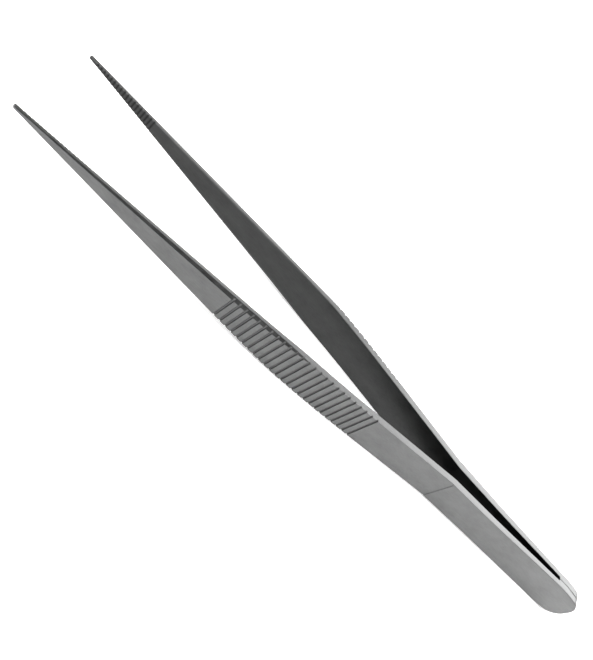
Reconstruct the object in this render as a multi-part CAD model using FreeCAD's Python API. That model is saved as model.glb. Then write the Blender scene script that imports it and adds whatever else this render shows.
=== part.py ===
import FreeCAD, Part
import math
import os

os.makedirs("parts", exist_ok=True)

# Precision tweezers: two mirrored steel arms welded together at the tail.
# Lengths in millimetres, angles in degrees. While the arms are built, X runs
# from the tail end (0) to the points, Y is the opening direction with the weld
# seam at 0, and Z is the width of the strip with its middle at 0.

# ---- overall ----
OVERALL_LENGTH = 150.0
STRIP_WIDTH = 9.0
WAIST_WIDTH = 8.4
TIP_WIDTH = 0.55

# ---- stations along the arm, from the tail end ----
WELD_LENGTH = 9.0
WAIST_X = 30.0
BEND_LINE_X = 43.4
GRIP_LAND_X = 76.0
BOW_X = 84.6
SHOULDER_X = 86.0
BEVEL_X = 98.0

# ---- outline of the strip ----
TAIL_END_WIDTH = 7.4
TAIL_CORNER_RADIUS = 3.4
TAIL_TAPER_LENGTH = 6.0
TAIL_LAND_LENGTH = 4.0
WAIST_RADIUS = 300.0
LAND_BLEND_RADIUS = 12.0
SHOULDER_RADIUS = 60.0
TIP_CORNER_RADIUS = 0.18

# ---- thickness of the strip ----
TAIL_THICKNESS = 1.6
LEG_THICKNESS = 1.62
GRIP_THICKNESS = 1.5
TIP_THICKNESS = 0.7
TIP_FACET = 0.3

# ---- spread of one arm, measured on its inner face ----
RELIEF_DEPTH = 0.42
RELIEF_RADIUS = 0.2
LEG_SPREAD = 1.9
GRIP_SPREAD = 8.15
NOSE_SPREAD = 2.8
BOW_RADIUS = 320.0
PAD_BLEND_RADIUS = 40.0

# ---- finger grip ----
GROOVE_COUNT = 25
GROOVE_PITCH = 1.5
GROOVE_DEPTH = 0.3
GROOVE_WIDTH = 0.6
GROOVE_FLOOR = 0.2
GROOVE_FRONT_X = 101.85

# ---- bevelled nose ----
NOSE_BEVEL = 0.6
TIP_BEVEL = 0.15

# ---- serrated points ----
SERRATION_COUNT = 18
SERRATION_PITCH = 0.83
SERRATION_DEPTH = 0.18
SERRATION_WIDTH = 0.7
SERRATION_FLOOR = 0.07
SERRATION_FROM_TIP = 1.7

# ---- resistance weld ----
NUGGET_DIAMETER = 4.4
NUGGET_THICKNESS = 1.2

# ---- edges ----
EDGE_BREAK = 0.12

# ---- tests on the normal of a face, as the size of one component ----
FACES_SIDEWAYS = 0.9
FACES_ALONG = 0.999
STANDS_UPRIGHT = 0.001


def rounded_face(corners):
    """Planar face through corners (u, v, radius), each corner rounded to its radius."""
    starts = []
    ends = []
    mids = []
    count = len(corners)
    for i in range(count):
        u, v, radius = corners[i]
        here = FreeCAD.Vector(u, v, 0)
        before = FreeCAD.Vector(corners[i - 1][0], corners[i - 1][1], 0) - here
        after = FreeCAD.Vector(corners[(i + 1) % count][0], corners[(i + 1) % count][1], 0) - here
        before.normalize()
        after.normalize()
        half_angle = before.getAngle(after) / 2
        reach = radius / math.tan(half_angle)
        middle = before + after
        if radius > 0:
            middle.normalize()
        centre = here + middle * (radius / math.sin(half_angle))
        starts.append(here + before * reach)
        ends.append(here + after * reach)
        mids.append(centre - middle * radius)
    edges = []
    for i in range(count):
        if corners[i][2] > 0:
            edges.append(Part.Arc(starts[i], mids[i], ends[i]).toShape())
        edges.append(Part.makeLine(ends[i], starts[(i + 1) % count]))
    return Part.Face(Part.Wire(edges))


def slope(angle):
    return math.tan(math.radians(angle))


# Inner face of one arm: straight leg, straight grip and straight nose.
leg_start_y = RELIEF_DEPTH
bend_y = leg_start_y + (BEND_LINE_X - WELD_LENGTH) * slope(LEG_SPREAD)
bow_y = bend_y + (BOW_X - BEND_LINE_X) * slope(GRIP_SPREAD)
tip_y = bow_y + (OVERALL_LENGTH - BOW_X) * slope(NOSE_SPREAD)

# Outer face of the blade: parallel to the grip, then thinning to the point.
outer_bow_y = bow_y + GRIP_THICKNESS
outer_tip_y = tip_y + TIP_THICKNESS
nose_angle = math.degrees(math.atan2(outer_tip_y - outer_bow_y, OVERALL_LENGTH - BOW_X))


def outer_surface(x):
    """Point on the outer face of the blade at station x, and its slope angle."""
    grip_lean = math.radians(GRIP_SPREAD)
    nose_lean = math.radians(nose_angle)
    reach = BOW_RADIUS * math.tan((grip_lean - nose_lean) / 2)
    arc_start = BOW_X - reach * math.cos(grip_lean)
    arc_end = BOW_X + reach * math.cos(nose_lean)
    if x <= arc_start:
        return outer_bow_y + (x - BOW_X) * math.tan(grip_lean), GRIP_SPREAD
    if x >= arc_end:
        return outer_bow_y + (x - BOW_X) * math.tan(nose_lean), nose_angle
    centre_x = arc_start + BOW_RADIUS * math.sin(grip_lean)
    centre_y = outer_bow_y - reach * math.sin(grip_lean) - BOW_RADIUS * math.cos(grip_lean)
    lean = math.asin((centre_x - x) / BOW_RADIUS)
    return centre_y + BOW_RADIUS * math.cos(lean), math.degrees(lean)


def half_width(x):
    """Half-width of the strip on the straight taper of the nose."""
    share = (OVERALL_LENGTH - x) / (OVERALL_LENGTH - SHOULDER_X)
    return (TIP_WIDTH + (STRIP_WIDTH - TIP_WIDTH) * share) / 2


def blank():
    """Side profile of the arm crossed with the outline of the strip."""
    profile = [
        (-STRIP_WIDTH, 0, 0),
        (WELD_LENGTH, 0, 0),
        (WELD_LENGTH, RELIEF_DEPTH, RELIEF_RADIUS),
        (BEND_LINE_X, bend_y, 0),
        (BOW_X, bow_y, BOW_RADIUS),
        (OVERALL_LENGTH, tip_y, 0),
        (OVERALL_LENGTH, outer_tip_y - TIP_FACET, 0),
        (OVERALL_LENGTH - TIP_FACET, outer_surface(OVERALL_LENGTH - TIP_FACET)[0], 0),
        (BOW_X, outer_bow_y, BOW_RADIUS),
        (BEND_LINE_X, outer_surface(BEND_LINE_X)[0], 0),
        (BEND_LINE_X, bend_y + LEG_THICKNESS, 0),
        (WELD_LENGTH, TAIL_THICKNESS, PAD_BLEND_RADIUS),
        (-STRIP_WIDTH, TAIL_THICKNESS, 0),
    ]
    body = rounded_face(profile).extrude(FreeCAD.Vector(0, 0, STRIP_WIDTH))
    body.translate(FreeCAD.Vector(0, 0, -STRIP_WIDTH / 2))
    half = [
        (0, TAIL_END_WIDTH / 2, TAIL_CORNER_RADIUS),
        (TAIL_TAPER_LENGTH, STRIP_WIDTH / 2, LAND_BLEND_RADIUS),
        (TAIL_TAPER_LENGTH + TAIL_LAND_LENGTH, STRIP_WIDTH / 2, LAND_BLEND_RADIUS),
        (WAIST_X, WAIST_WIDTH / 2, WAIST_RADIUS),
        (GRIP_LAND_X, STRIP_WIDTH / 2, LAND_BLEND_RADIUS),
        (SHOULDER_X, STRIP_WIDTH / 2, SHOULDER_RADIUS),
        (OVERALL_LENGTH, TIP_WIDTH / 2, TIP_CORNER_RADIUS),
    ]
    lower = [(x, -z, radius) for x, z, radius in reversed(half)]
    plate = rounded_face(half + lower).extrude(FreeCAD.Vector(0, 0, tip_y + STRIP_WIDTH))
    plate.rotate(FreeCAD.Vector(0, 0, 0), FreeCAD.Vector(1, 0, 0), -90)
    return body.common(plate)


def break_edges(solid):
    """Chamfer every long edge where a flat of the strip meets its edge wall."""
    edges = []
    for edge in solid.Edges:
        middle = edge.valueAt((edge.FirstParameter + edge.LastParameter) / 2)
        flats = 0
        walls = 0
        for face in solid.ancestorsOfType(edge, Part.Face):
            u, v = face.Surface.parameter(middle)
            normal = face.normalAt(u, v)
            cut_end = abs(normal.x) > FACES_ALONG and middle.x > EDGE_BREAK
            flats += abs(normal.y) > FACES_SIDEWAYS
            walls += abs(normal.y) < STANDS_UPRIGHT and not cut_end
        if flats == 1 and walls == 1:
            edges.append(edge)
    return solid.makeChamfer(EDGE_BREAK, edges)


def nose_bevel():
    """Wedge that planes the upper outer corner of the nose at 45 degrees and runs out on the grip."""
    tip_corner = FreeCAD.Vector(OVERALL_LENGTH, outer_tip_y, half_width(OVERALL_LENGTH) - TIP_BEVEL)
    back_corner = FreeCAD.Vector(BEVEL_X, outer_surface(BEVEL_X)[0], half_width(BEVEL_X) - NOSE_BEVEL)
    along = back_corner - tip_corner
    across = FreeCAD.Vector(0, -1, 1)
    outward = along.cross(across)
    outward.normalize()
    across.normalize()
    along.normalize()
    start = tip_corner - along * STRIP_WIDTH - across * STRIP_WIDTH
    reach = along * (OVERALL_LENGTH - BEND_LINE_X)
    span = across * (2 * STRIP_WIDTH)
    wire = Part.makePolygon([start, start + reach, start + reach + span, start + span, start])
    return Part.Face(wire).extrude(outward * STRIP_WIDTH)


def trough(mouth, floor, depth, x, y, angle, outward):
    """Prism across the strip that cuts one groove: mouth and floor are widths.

    Its sides carry on past the surface by the depth, where it is 2 * flare wide.
    """
    flare = mouth - floor / 2
    points = [
        FreeCAD.Vector(-flare, depth * outward, 0),
        FreeCAD.Vector(-floor / 2, -depth * outward, 0),
        FreeCAD.Vector(floor / 2, -depth * outward, 0),
        FreeCAD.Vector(flare, depth * outward, 0),
    ]
    prism = Part.Face(Part.makePolygon(points + [points[0]])).extrude(FreeCAD.Vector(0, 0, 2 * STRIP_WIDTH))
    prism.translate(FreeCAD.Vector(0, 0, -STRIP_WIDTH))
    prism.rotate(FreeCAD.Vector(0, 0, 0), FreeCAD.Vector(0, 0, 1), angle)
    prism.translate(FreeCAD.Vector(x, y, 0))
    return prism


def grip_grooves():
    """Cutters for the cross grooves of the finger grip, which follow the bowed outer face."""
    cutters = []
    for i in range(GROOVE_COUNT):
        x = GROOVE_FRONT_X - i * GROOVE_PITCH
        y, angle = outer_surface(x)
        cutters.append(trough(GROOVE_WIDTH, GROOVE_FLOOR, GROOVE_DEPTH, x, y, angle, 1))
    return cutters


def point_serrations(shift):
    """Cutters for the cross teeth of one point, moved back from the tip by shift."""
    cutters = []
    for i in range(SERRATION_COUNT):
        x = OVERALL_LENGTH - SERRATION_FROM_TIP - shift - i * SERRATION_PITCH
        y = tip_y - (OVERALL_LENGTH - x) * slope(NOSE_SPREAD)
        cutters.append(trough(SERRATION_WIDTH, SERRATION_FLOOR, SERRATION_DEPTH, x, y, NOSE_SPREAD, -1))
    return cutters


def weld_nugget():
    """Lens of fused metal astride the weld seam."""
    half_span = NUGGET_DIAMETER / 2
    half_rise = NUGGET_THICKNESS / 2
    sphere_radius = (half_span ** 2 + half_rise ** 2) / (2 * half_rise)
    offset = sphere_radius - half_rise
    centre_x = WELD_LENGTH / 2
    near = Part.makeSphere(sphere_radius, FreeCAD.Vector(centre_x, -offset, 0), FreeCAD.Vector(0, 1, 0))
    far = Part.makeSphere(sphere_radius, FreeCAD.Vector(centre_x, offset, 0), FreeCAD.Vector(0, 1, 0))
    return near.common(far).Solids[0]


strip = blank()
ahead = Part.makeBox(OVERALL_LENGTH, OVERALL_LENGTH, 2 * STRIP_WIDTH)
ahead.translate(FreeCAD.Vector(BEND_LINE_X, -STRIP_WIDTH, -STRIP_WIDTH))
nugget = weld_nugget()
leg = break_edges(strip.cut(ahead).Solids[0]).cut(nugget).Solids[0]
plain_blade = break_edges(strip.common(ahead).Solids[0]).cut([nose_bevel()] + grip_grooves())
blade = plain_blade.cut(point_serrations(0))
shifted_blade = plain_blade.cut(point_serrations(SERRATION_PITCH / 2))

seam_point = FreeCAD.Vector(0, 0, 0)
seam_normal = FreeCAD.Vector(0, 1, 0)
nodes = {
    "weld_nugget": nugget,
    "left_spring_leg": leg,
    "right_spring_leg": leg.mirror(seam_point, seam_normal),
    "left_blade": blade.Solids[0],
    "right_blade": shifted_blade.Solids[0].mirror(seam_point, seam_normal),
}

for name, shape in nodes.items():
    shape.translate(FreeCAD.Vector(-OVERALL_LENGTH / 2, 0, STRIP_WIDTH / 2))
    shape.exportStep("parts/" + name + ".step")
    print(name, shape.isValid(), round(shape.Volume, 2), len(shape.Solids), len(shape.Faces))
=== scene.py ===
import math

import bmesh
import bpy
from mathutils import Euler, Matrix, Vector


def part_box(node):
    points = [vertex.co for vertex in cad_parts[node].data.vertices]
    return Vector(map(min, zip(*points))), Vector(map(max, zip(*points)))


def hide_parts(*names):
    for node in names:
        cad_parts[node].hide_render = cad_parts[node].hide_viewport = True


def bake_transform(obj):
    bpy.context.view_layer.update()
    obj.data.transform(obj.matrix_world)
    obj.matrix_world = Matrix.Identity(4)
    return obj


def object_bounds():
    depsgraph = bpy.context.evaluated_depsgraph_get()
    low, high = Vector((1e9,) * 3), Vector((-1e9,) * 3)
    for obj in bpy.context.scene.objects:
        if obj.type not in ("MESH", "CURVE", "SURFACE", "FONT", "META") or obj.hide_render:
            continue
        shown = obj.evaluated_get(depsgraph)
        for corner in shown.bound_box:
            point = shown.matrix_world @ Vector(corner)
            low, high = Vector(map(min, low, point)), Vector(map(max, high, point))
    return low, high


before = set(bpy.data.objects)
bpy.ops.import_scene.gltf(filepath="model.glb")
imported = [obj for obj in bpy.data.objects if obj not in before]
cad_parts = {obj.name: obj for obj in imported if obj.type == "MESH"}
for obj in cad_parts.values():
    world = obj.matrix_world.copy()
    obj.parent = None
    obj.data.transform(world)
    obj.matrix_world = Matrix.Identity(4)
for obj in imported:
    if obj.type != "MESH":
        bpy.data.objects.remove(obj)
cad_low, cad_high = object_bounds()

MM = 0.001  # one millimetre in scene units

# ---- sizes of the arm in millimetres, from the tail end; the typed ones repeat the CAD's ----
LENGTH = (cad_high.x - cad_low.x) / MM
STRIP_WIDTH = (cad_high.z - cad_low.z) / MM
WAIST_WIDTH = 8.4
TIP_WIDTH = 0.55
TIP_CORNER = 0.18
WELD_LENGTH = 9.0
WAIST_X = 30.0
BEND_LINE_X = (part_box("left_blade")[0].x - cad_low.x) / MM
GRIP_LAND_X = 76.0
BOW_X = 84.6
SHOULDER_X = 86.0
BEVEL_X = 98.0
TAIL_END_WIDTH = 7.4
TAIL_CORNER = 3.4
TAIL_TAPER_LENGTH = 6.0
TAIL_LAND_LENGTH = 4.0
LAND_BLEND = 12.0
WAIST_RADIUS = 300.0
SHOULDER_RADIUS = 60.0
TAIL_THICKNESS = 1.6
LEG_THICKNESS = 1.62
GRIP_THICKNESS = 1.5
TIP_THICKNESS = 0.7
TIP_FACET = 0.3
RELIEF_DEPTH = 0.42
RELIEF_RADIUS = 0.2
LEG_SPREAD = math.tan(math.radians(1.9))
GRIP_SPREAD = math.tan(math.radians(8.15))
NOSE_SPREAD = math.tan(math.radians(2.8))
BOW_RADIUS = 320.0
PAD_BLEND = 40.0
GROOVE_COUNT = 25
GROOVE_PITCH = 1.5
GROOVE_DEPTH = 0.3
GROOVE_WIDTH = 0.6
GROOVE_FLOOR = 0.2
GROOVE_FRONT_X = 101.85
NOSE_BEVEL = 0.6
TIP_BEVEL = 0.15
SERRATION_COUNT = 18
SERRATION_PITCH = 0.83
SERRATION_DEPTH = 0.18
SERRATION_WIDTH = 0.7
SERRATION_FROM_TIP = 1.7

# ---- only in this mesh: rounded edges, run of the step at the bend line, slope of the tip facet ----
EDGE_RADIUS = 0.13
STEP_RUN = 0.06
TIP_FACET_SLOPE = 0.9

# ---- reflectance of the satin outside and of the inside, which is painted darker, partly a duller finish and partly painted shade between the arms; and what the painted shade in grooves and teeth leaves of it ----
BRIGHT_STEEL = 0.158
DULL_AND_SHADED_STEEL = 0.055
# painted shade in grooves and teeth: what it leaves of the colour, and the share the grooves get
RECESS_SHADE_SHARE = 0.35
GROOVE_SHADE = 0.4

# ---- grain of the steel: noise frequency per metre along, through and across the strip ----
GRAIN_SCALE = (600, 9000, 9000)
MOTTLE_SCALE = (260, 420, 420)
BLOTCH_SCALE = (60, 120, 120)
NOISE_LOW, NOISE_HIGH = 0.3, 0.7  # noise below and above these is cut off
GRAIN_TONE = 0.12
MOTTLE_TONE = 0.12
BLOTCH_TONE = 0.03
ROUGHNESS = 0.39
ROUGHNESS_SWING = 0.05
BUMP_STRENGTH = 0.25
BUMP_DEPTH = 0.00002
TINT = (("Red", 1.0), ("Green", 1.01), ("Blue", 1.005))

# ---- mesh density ----
LONG_STEP = 1.0
WALL_ROWS = 3
FACE_COLUMNS = 8
CLOSEST_STATIONS = 0.004
SLOPE_SPAN = 0.05
SHARP_ANGLE = 28
# the most an edge's radius takes of the thickness, and its columns of the half-width
EDGE_SHARE = 0.3

# ---- the photograph's camera, in millimetres and degrees ----
CAMERA_AT = (47.7, 101.73, 104.0)
CAMERA_ANGLES = (29.05, -38.94, -150.43)
CAMERA_LENS = 41.47
CAMERA_SENSOR = 36.0
CAMERA_CLIP = 5.0

# ---- white table that gives off light, with a cove rising round it, in metres ----
LIT_FLOOR = 0.5
FLOOR_GREY = 0.86
FLOOR_MIDDLE = 0.4
FLOOR_RADIUS = 1.6
COVE_RADIUS = 0.6
COVE_STEPS = 12
FLOOR_SIDES = 96
FLOOR_DROP = 0.00002  # keeps the floor just clear of the faces that rest on it

# ---- studio lights: name, place, point aimed at, width, height, watts ----
LIGHTS = (
    ("overhead", (0.0, 0.0, 1.0), (0, 0, 0), 0.6, 0.6, 4.0),
    ("key", (-0.7, -0.55, 0.5), (0, 0, 0), 0.8, 0.6, 7.8),
    ("back", (0.0, -0.85, 0.65), (0, 0, 0), 0.6, 0.4, 2.6),
    ("end", (0.85, 0.2, 0.45), (0, 0, 0), 0.5, 0.5, 3.0),
    ("tail_light", (-0.15, 0.02, 0.22), (-0.09, 0.01, 0), 0.12, 0.12, 0.43),
)
STUDIO_GLOW = 0.09


# ------------------------------------------------------------------ shape

def rounded(x, corners):
    """Height at x of a run of straight lines whose corners (x, y, radius) are rounded."""
    for before, corner, after in zip(corners, corners[1:], corners[2:]):
        cx, cy, radius = corner
        slope_in = (cy - before[1]) / (cx - before[0])
        slope_out = (after[1] - cy) / (after[0] - cx)
        lean_in = math.atan(slope_in)
        lean_out = math.atan(slope_out)
        if radius <= 0 or abs(lean_out - lean_in) < 1e-6:
            continue
        reach = radius * math.tan(abs(lean_out - lean_in) / 2)
        start = cx - reach * math.cos(lean_in)
        end = cx + reach * math.cos(lean_out)
        if start < x < end:
            turn = 1 if lean_out > lean_in else -1
            mid_x = start - turn * radius * math.sin(lean_in)
            mid_y = cy - reach * math.sin(lean_in) + turn * radius * math.cos(lean_in)
            return mid_y - turn * math.sqrt(radius ** 2 - (x - mid_x) ** 2)
    for (x0, y0, _), (x1, y1, _) in zip(corners, corners[1:]):
        if x <= x1:
            return y0 + (y1 - y0) * (x - x0) / (x1 - x0)
    return corners[-1][1]


bend_y = RELIEF_DEPTH + (BEND_LINE_X - WELD_LENGTH) * LEG_SPREAD
bow_y = bend_y + (BOW_X - BEND_LINE_X) * GRIP_SPREAD
tip_y = bow_y + (LENGTH - BOW_X) * NOSE_SPREAD

INNER = [
    (WELD_LENGTH, RELIEF_DEPTH, 0),
    (BEND_LINE_X, bend_y, 0),
    (BOW_X, bow_y, BOW_RADIUS),
    (LENGTH, tip_y, 0),
]
OUTER_LEG = [
    (-WELD_LENGTH, TAIL_THICKNESS, 0),
    (WELD_LENGTH, TAIL_THICKNESS, PAD_BLEND),
    (BEND_LINE_X, bend_y + LEG_THICKNESS, 0),
]
OUTER_BLADE = [
    (BEND_LINE_X, bend_y + GRIP_THICKNESS, 0),
    (BOW_X, bow_y + GRIP_THICKNESS, BOW_RADIUS),
    (LENGTH, tip_y + TIP_THICKNESS, 0),
]
OUTLINE = [
    (0, TAIL_END_WIDTH / 2, 0),
    (TAIL_TAPER_LENGTH, STRIP_WIDTH / 2, LAND_BLEND),
    (TAIL_TAPER_LENGTH + TAIL_LAND_LENGTH, STRIP_WIDTH / 2, LAND_BLEND),
    (WAIST_X, WAIST_WIDTH / 2, WAIST_RADIUS),
    (GRIP_LAND_X, STRIP_WIDTH / 2, LAND_BLEND),
    (SHOULDER_X, STRIP_WIDTH / 2, SHOULDER_RADIUS),
    (LENGTH, TIP_WIDTH / 2, 0),
]


def smooth(share):
    """Share from 0 to 1, eased so that both ends are level."""
    share = min(max(share, 0.0), 1.0)
    return share * share * (3 - 2 * share)


def inner_y(x):
    """Inner face of the arm: pad on the seam, run-out of the relief, then leg, grip and nose."""
    past = x - WELD_LENGTH
    if past <= 0:
        return 0.0
    face = rounded(x, INNER)
    if past < RELIEF_RADIUS:
        climb = math.sqrt(RELIEF_RADIUS ** 2 - (RELIEF_RADIUS - past) ** 2)
        return face - RELIEF_RADIUS + climb
    return face


def outer_y(x):
    """Outer face of the arm, with the small step down at the bend line."""
    if x < BEND_LINE_X:
        return rounded(x, OUTER_LEG)
    blade = rounded(x, OUTER_BLADE)
    step = LEG_THICKNESS - GRIP_THICKNESS
    return blade + step * (1 - smooth((x - BEND_LINE_X) / STEP_RUN))


tail_lean = math.atan2(STRIP_WIDTH / 2 - TAIL_END_WIDTH / 2, TAIL_TAPER_LENGTH)
tail_arc_z = (
    TAIL_END_WIDTH / 2 + TAIL_CORNER * math.tan(tail_lean) - TAIL_CORNER / math.cos(tail_lean)
)
tip_arc_z = TIP_WIDTH / 2 - TIP_CORNER


def half_width(x):
    """Half-width of the strip, with the rounded corners of both ends."""
    wide = rounded(x, OUTLINE)
    if x < TAIL_CORNER * (1 - math.sin(tail_lean)):
        wide = tail_arc_z + math.sqrt(TAIL_CORNER ** 2 - (TAIL_CORNER - x) ** 2)
    left = LENGTH - x
    if left < TIP_CORNER:
        arc = math.sqrt(TIP_CORNER ** 2 - (TIP_CORNER - left) ** 2)
        wide = min(wide, tip_arc_z + arc)
    return wide


def edge_distance(x, z):
    """Distance from a point of the strip's flat to its outline."""
    if x < TAIL_CORNER and z > tail_arc_z:
        inside = TAIL_CORNER - math.hypot(TAIL_CORNER - x, z - tail_arc_z)
        return max(inside, 0.0)
    rise = 0.0
    if SLOPE_SPAN < x < LENGTH - SLOPE_SPAN:
        widening = half_width(x + SLOPE_SPAN) - half_width(x - SLOPE_SPAN)
        rise = widening / (2 * SLOPE_SPAN)
    side = (half_width(x) - z) / math.sqrt(1 + rise * rise)
    return max(min(side, x, LENGTH - x), 0.0)


def round_drop(distance, radius):
    """How far a rounded edge falls below the flat at this distance from the outline."""
    if distance >= radius:
        return 0.0
    return radius - math.sqrt(radius ** 2 - (radius - distance) ** 2)


def corner_sum(x):
    """Outer face plus half-width at x: a plane at 45 degrees cuts where this has one value."""
    return outer_y(x) + half_width(x)


tip_sum = tip_y + TIP_THICKNESS + TIP_WIDTH / 2 - TIP_BEVEL
back_sum = corner_sum(BEVEL_X) - NOSE_BEVEL


def bevel(x):
    """Leg of the planed corner of the nose at station x; it fades out on the grip."""
    plane = tip_sum + (back_sum - tip_sum) * (LENGTH - x) / (LENGTH - BEVEL_X)
    return max(corner_sum(x) - plane, 0.0)


def groove_drop(x):
    """Depth of the finger-grip grooves at station x."""
    index = round((GROOVE_FRONT_X - x) / GROOVE_PITCH)
    if not 0 <= index < GROOVE_COUNT:
        return 0.0
    off = abs(x - (GROOVE_FRONT_X - index * GROOVE_PITCH))
    flank = (off - GROOVE_FLOOR / 2) / (GROOVE_WIDTH / 2 - GROOVE_FLOOR / 2)
    return GROOVE_DEPTH * (1 - smooth(flank))


def serration_drop(x, shift):
    """Depth of the cross teeth on the inner face of the point at station x."""
    first = LENGTH - SERRATION_FROM_TIP - shift
    index = round((first - x) / SERRATION_PITCH)
    if not 0 <= index < SERRATION_COUNT:
        return 0.0
    off = abs(x - (first - index * SERRATION_PITCH))
    return SERRATION_DEPTH * max(1 - off / (SERRATION_WIDTH / 2), 0.0)


def stations(shift):
    """Places along the arm where the mesh has a ring of points, dense where the shape is fine."""
    places = [i * LONG_STEP for i in range(int(LENGTH / LONG_STEP) + 1)]

    def add(start, size, shares):
        places.extend(start + size * share for share in shares)

    quarter_turn = [1 - math.cos(math.radians(9 * i)) for i in range(11)]
    edge = (0, 0.06, 0.2, 0.45, 0.75, 1.1)
    add(0, TAIL_CORNER, quarter_turn)
    add(LENGTH, -TIP_CORNER, quarter_turn[1:])
    add(0, EDGE_RADIUS, edge)
    add(LENGTH, -EDGE_RADIUS, edge)
    add(LENGTH, -TIP_FACET, (0.5, 0.9, 1.1, 1.6))
    add(WELD_LENGTH, RELIEF_RADIUS, (0, 0.02, 0.1, 0.25, 0.5, 1, 1.5))
    add(BEND_LINE_X, STEP_RUN, (-1.5, -0.3, 0, 0.25, 0.5, 0.75, 1, 2.5))
    groove = (0, 0.14, 0.22, 0.31, 0.4, 0.48, 0.54, 0.8)
    for i in range(GROOVE_COUNT):
        middle = GROOVE_FRONT_X - i * GROOVE_PITCH
        add(middle, GROOVE_WIDTH, groove)
        add(middle, -GROOVE_WIDTH, groove)
    tooth = (0, 0.06, 0.28, 0.48, 0.52)
    for i in range(SERRATION_COUNT):
        middle = LENGTH - SERRATION_FROM_TIP - shift - i * SERRATION_PITCH
        add(middle, SERRATION_WIDTH, tooth)
        add(middle, -SERRATION_WIDTH, tooth)
    places = sorted(place for place in places if 0 <= place <= LENGTH)
    kept = [0.0]
    for place in places:
        if place - kept[-1] > CLOSEST_STATIONS:
            kept.append(place)
    kept[-1] = LENGTH
    return kept


def across(x):
    """Distances in from the edge wall where a ring has points, from the wall to the middle."""
    wide = half_width(x)
    # the dense band reaches just past the rounded edge, and across the round corner at the tail
    band = min(EDGE_RADIUS * 1.02, wide * EDGE_SHARE)
    if x < TAIL_CORNER:
        band = min(wide - tail_arc_z + EDGE_RADIUS, wide * 0.55)
    drops = [band * share for share in (0, 0.04, 0.15, 0.33, 0.6, 1)]
    # three more columns hold the crest of the bevel crisp, closer together on the narrow point
    crest = max(bevel(x), band + 0.07 * min(wide, 1.0))
    near = 0.03 * min(wide, 1.0)
    drops += [crest - near, crest, crest + near]
    rest = wide - drops[-1]
    drops += [drops[-1] + rest * (i + 1) / FACE_COLUMNS for i in range(FACE_COLUMNS)]
    return drops


def ring(x, shift):
    """Rows of points (z, y, inside, recess) down the outer and the inner face at station x."""
    wide = half_width(x)
    outer = outer_y(x) - max(x - (LENGTH - TIP_FACET), 0.0) * TIP_FACET_SLOPE
    inner = inner_y(x)
    groove = groove_drop(x)
    tooth = serration_drop(x, shift)
    radius = min(EDGE_RADIUS, (outer - inner) * EDGE_SHARE)
    drops = across(x)
    outer_row = []
    inner_row = []
    for half, plane in ((1, bevel(x)), (-1, 0.0)):
        outer_half = []
        inner_half = []
        for drop in drops:
            z = max(wide - drop, 0.0)
            from_edge = edge_distance(x, z)
            rounding = round_drop(from_edge, radius)
            surface = max(rounding, plane - drop)
            # painted shade in the finger-grip grooves, stronger where the groove is deeper
            painted_shade = GROOVE_SHADE * groove / GROOVE_DEPTH if groove > surface else 0.0
            outer_half.append((half * z, outer - max(surface, groove), 0.0, painted_shade))
            # the inner face away from its rounded edges, which the material paints darker: partly a
            # duller finish, partly painted shade between the arms
            inner_shade = smooth((from_edge - 0.5 * radius) / radius)
            # the teeth on the inner face carry painted shade by their depth
            inner_half.append(
                (half * z, inner + max(rounding, tooth), inner_shade, tooth / SERRATION_DEPTH)
            )
        if half > 0:
            outer_row += outer_half
            inner_row += inner_half
        else:
            outer_row += outer_half[-2::-1]
            inner_row += inner_half[-2::-1]
    return outer_row, inner_row


def arm(name, side, shift):
    """One whole arm as a closed mesh; side is +1 for the left arm and -1 for the right."""
    places = stations(shift)
    rings = [ring(x, shift) for x in places]
    last = len(rings[0][0]) - 1
    mesh = bmesh.new()
    # mask of the inner faces, which the material paints darker, partly as painted shade between the
    # arms
    inside = mesh.verts.layers.float.new("inside")
    # depth of grooves and teeth, which the material paints as shade
    recess_shade = mesh.verts.layers.float.new("recess_shade")

    def point(x, spot):
        z, y, inner_shade, deep = spot
        vert = mesh.verts.new(((x - LENGTH / 2) * MM, side * y * MM, (z + STRIP_WIDTH / 2) * MM))
        vert[inside] = inner_shade
        vert[recess_shade] = deep
        return vert

    outer = [[point(x, spot) for spot in rows[0]] for x, rows in zip(places, rings)]
    inner = [[point(x, spot) for spot in rows[1]] for x, rows in zip(places, rings)]

    def wall(i, j):
        """Points down the edge wall between the two faces, at station i and column j."""
        z, top = rings[i][0][j][:2]
        low = rings[i][1][j][1]
        between = [(z, top + (low - top) * k / WALL_ROWS, 0.0, 0.0) for k in range(1, WALL_ROWS)]
        return [outer[i][j]] + [point(places[i], spot) for spot in between] + [inner[i][j]]

    upper = [wall(i, 0) for i in range(len(places))]
    lower = [wall(i, last) for i in range(len(places))]
    ends = []
    for i in (0, len(places) - 1):
        ends.append([upper[i]] + [wall(i, j) for j in range(1, last)] + [lower[i]])

    def skin(grid):
        for a, b in zip(grid, grid[1:]):
            for p, q, r, s in zip(a, a[1:], b[1:], b):
                mesh.faces.new((p, q, r, s))

    skin(outer)
    skin([row[::-1] for row in inner])
    skin([row[::-1] for row in upper])
    skin(lower)
    skin(ends[0])
    skin([row[::-1] for row in ends[1]])
    bmesh.ops.recalc_face_normals(mesh, faces=mesh.faces)
    for face in mesh.faces:
        face.smooth = True
    data = bpy.data.meshes.new(name)
    mesh.to_mesh(data)
    mesh.free()
    data.set_sharp_from_angle(angle=math.radians(SHARP_ANGLE))
    piece = bpy.data.objects.new(name, data)
    bpy.context.scene.collection.objects.link(piece)
    return piece


# -------------------------------------------------------------- materials

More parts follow.
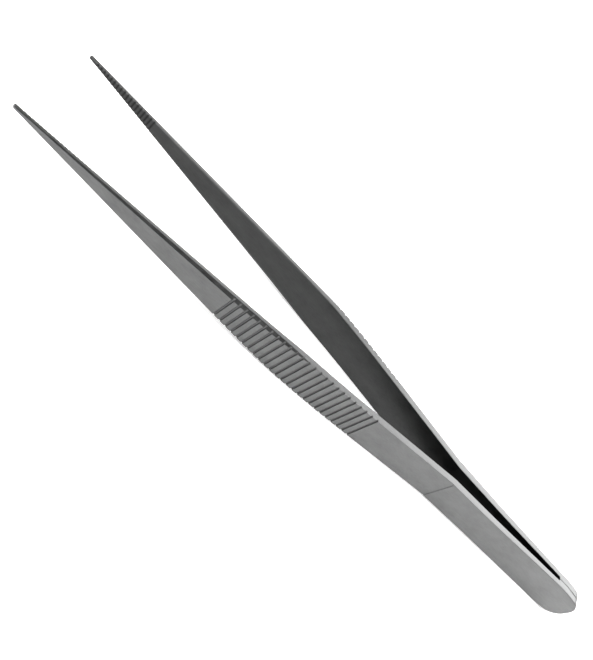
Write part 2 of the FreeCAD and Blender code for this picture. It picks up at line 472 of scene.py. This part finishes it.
def steel(name):
    """Satin-ground steel: fine lengthwise grain and soft mottling, darker on the inner faces,
    partly a duller finish and partly painted shade between the arms, and darkened by painted
    shade in grooves and teeth, as painted on the mesh."""
    material = bpy.data.materials.new(name)
    material.use_nodes = True
    nodes = material.node_tree.nodes
    links = material.node_tree.links
    shader = nodes["Principled BSDF"]
    shader.inputs["Metallic"].default_value = 1.0
    place = nodes.new("ShaderNodeTexCoord")

    def noise(scale, detail, rough):
        stretch = nodes.new("ShaderNodeMapping")
        stretch.inputs["Scale"].default_value = scale
        links.new(place.outputs["Object"], stretch.inputs["Vector"])
        texture = nodes.new("ShaderNodeTexNoise")
        texture.inputs["Scale"].default_value = 1.0
        texture.inputs["Detail"].default_value = detail
        texture.inputs["Roughness"].default_value = rough
        links.new(stretch.outputs["Vector"], texture.inputs["Vector"])
        return texture.outputs["Fac"]

    def levels(value, low, high, to_low, to_high):
        node = nodes.new("ShaderNodeMapRange")
        node.inputs["From Min"].default_value = low
        node.inputs["From Max"].default_value = high
        node.inputs["To Min"].default_value = to_low
        node.inputs["To Max"].default_value = to_high
        links.new(value, node.inputs["Value"])
        return node.outputs["Result"]

    def varied(value, middle, swing):
        return levels(value, NOISE_LOW, NOISE_HIGH, middle - swing, middle + swing)

    def math_node(kind, a, b):
        node = nodes.new("ShaderNodeMath")
        node.operation = kind
        for socket, value in zip(node.inputs, (a, b)):
            if isinstance(value, float):
                socket.default_value = value
            else:
                links.new(value, socket)
        return node.outputs["Value"]

    def painted(layer):
        node = nodes.new("ShaderNodeAttribute")
        node.attribute_name = layer
        return node.outputs["Fac"]

    grain = noise(GRAIN_SCALE, 3.0, 0.6)
    mottle = noise(MOTTLE_SCALE, 4.0, 0.55)
    blotch = noise(BLOTCH_SCALE, 2.0, 0.5)
    tone = math_node("ADD", varied(mottle, 0.0, MOTTLE_TONE), varied(grain, 0.0, GRAIN_TONE))
    tone = math_node("ADD", tone, varied(blotch, 1.0, BLOTCH_TONE))
    # inner faces darker: partly a duller finish, partly painted shade between the arms
    base = levels(painted("inside"), 0.0, 1.0, BRIGHT_STEEL, DULL_AND_SHADED_STEEL)
    # painted shade in grooves and teeth darkens the colour
    painted_shade = levels(painted("recess_shade"), 0.0, 1.0, 1.0, RECESS_SHADE_SHARE)
    tone = math_node("MULTIPLY", math_node("MULTIPLY", tone, base), painted_shade)
    colour = nodes.new("ShaderNodeCombineColor")
    for channel, factor in TINT:
        links.new(math_node("MULTIPLY", tone, factor), colour.inputs[channel])
    links.new(colour.outputs["Color"], shader.inputs["Base Color"])
    matt = varied(mottle, ROUGHNESS, ROUGHNESS_SWING)
    matt = math_node("ADD", matt, varied(grain, 0.0, ROUGHNESS_SWING))
    links.new(matt, shader.inputs["Roughness"])
    bump = nodes.new("ShaderNodeBump")
    bump.inputs["Strength"].default_value = BUMP_STRENGTH
    bump.inputs["Distance"].default_value = BUMP_DEPTH
    links.new(grain, bump.inputs["Height"])
    links.new(bump.outputs["Normal"], shader.inputs["Normal"])
    return material


satin = steel("satin_steel")
fused = steel("weld_steel")

# ----------------------------------------------------------------- pieces

left_arm = arm("left_arm_strip", 1, 0.0)
right_arm = arm("right_arm_strip", -1, SERRATION_PITCH / 2)
for piece, body, leg, blade in (
    (left_arm, "left_arm", "left_spring_leg", "left_blade"),
    (right_arm, "right_arm", "right_spring_leg", "right_blade"),
):
    piece.data.materials.append(satin)
    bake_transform(piece)
    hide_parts(leg, blade)

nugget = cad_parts["weld_nugget"]
for slot in nugget.material_slots:
    slot.material = fused

# ------------------------------------------------------------------ stage

def lit_floor():
    """Round white table with a quarter-circle cove at its rim, giving off an even light."""
    profile = [(FLOOR_MIDDLE, 0.0), (FLOOR_RADIUS, 0.0)]
    for k in range(1, COVE_STEPS + 1):
        climb = math.radians(90 * k / COVE_STEPS)
        out = FLOOR_RADIUS + COVE_RADIUS * math.sin(climb)
        profile.append((out, COVE_RADIUS * (1 - math.cos(climb))))
    spokes = [2 * math.pi * i / FLOOR_SIDES for i in range(FLOOR_SIDES)]
    mesh = bmesh.new()
    hoops = []
    for out, up in profile:
        rim = [(out * math.cos(spoke), out * math.sin(spoke), up) for spoke in spokes]
        hoops.append([mesh.verts.new(spot) for spot in rim])
    mesh.faces.new(hoops[0])
    for low_hoop, high_hoop in zip(hoops, hoops[1:]):
        for i in range(FLOOR_SIDES):
            j = (i + 1) % FLOOR_SIDES
            mesh.faces.new((low_hoop[i], high_hoop[i], high_hoop[j], low_hoop[j]))
    bmesh.ops.recalc_face_normals(mesh, faces=mesh.faces)
    for face in mesh.faces:
        face.smooth = True
    data = bpy.data.meshes.new("floor")
    mesh.to_mesh(data)
    mesh.free()
    paper = bpy.data.materials.new("floor_paper")
    paper.use_nodes = True
    shader = paper.node_tree.nodes["Principled BSDF"]
    shader.inputs["Base Color"].default_value = (FLOOR_GREY, FLOOR_GREY, FLOOR_GREY, 1)
    shader.inputs["Roughness"].default_value = 0.9
    shader.inputs["Specular IOR Level"].default_value = 0.0
    shader.inputs["Emission Color"].default_value = (1, 1, 1, 1)
    shader.inputs["Emission Strength"].default_value = LIT_FLOOR
    data.materials.append(paper)
    floor = bpy.data.objects.new("floor", data)
    bpy.context.scene.collection.objects.link(floor)
    floor.location.z = -FLOOR_DROP
    return floor


def softbox(name, at, aim, width, height, power):
    """Rectangular studio light at a point, facing another point."""
    light = bpy.data.lights.new(name, "AREA")
    light.shape = "RECTANGLE"
    light.size = width
    light.size_y = height
    light.energy = power
    lamp = bpy.data.objects.new(name, light)
    bpy.context.scene.collection.objects.link(lamp)
    lamp.location = at
    lamp.rotation_euler = (Vector(aim) - Vector(at)).to_track_quat("-Z", "Y").to_euler()


floor = lit_floor()
for light in LIGHTS:
    softbox(*light)

world = bpy.data.worlds.new("studio")
bpy.context.scene.world = world
world.use_nodes = True
background = world.node_tree.nodes["Background"]
background.inputs["Color"].default_value = (1, 1, 1, 1)
background.inputs["Strength"].default_value = STUDIO_GLOW

# ----------------------------------------------------------------- camera

lens = bpy.data.cameras.new("photo_camera")
lens.lens = CAMERA_LENS
lens.sensor_width = CAMERA_SENSOR
lens.sensor_fit = "AUTO"
lens.clip_start = CAMERA_CLIP * MM
camera = bpy.data.objects.new("photo_camera", lens)
bpy.context.scene.collection.objects.link(camera)
camera.location = [value * MM for value in CAMERA_AT]
camera.rotation_euler = Euler([math.radians(angle) for angle in CAMERA_ANGLES])
bpy.context.scene.camera = camera
bpy.context.scene.view_settings.view_transform = "Standard"
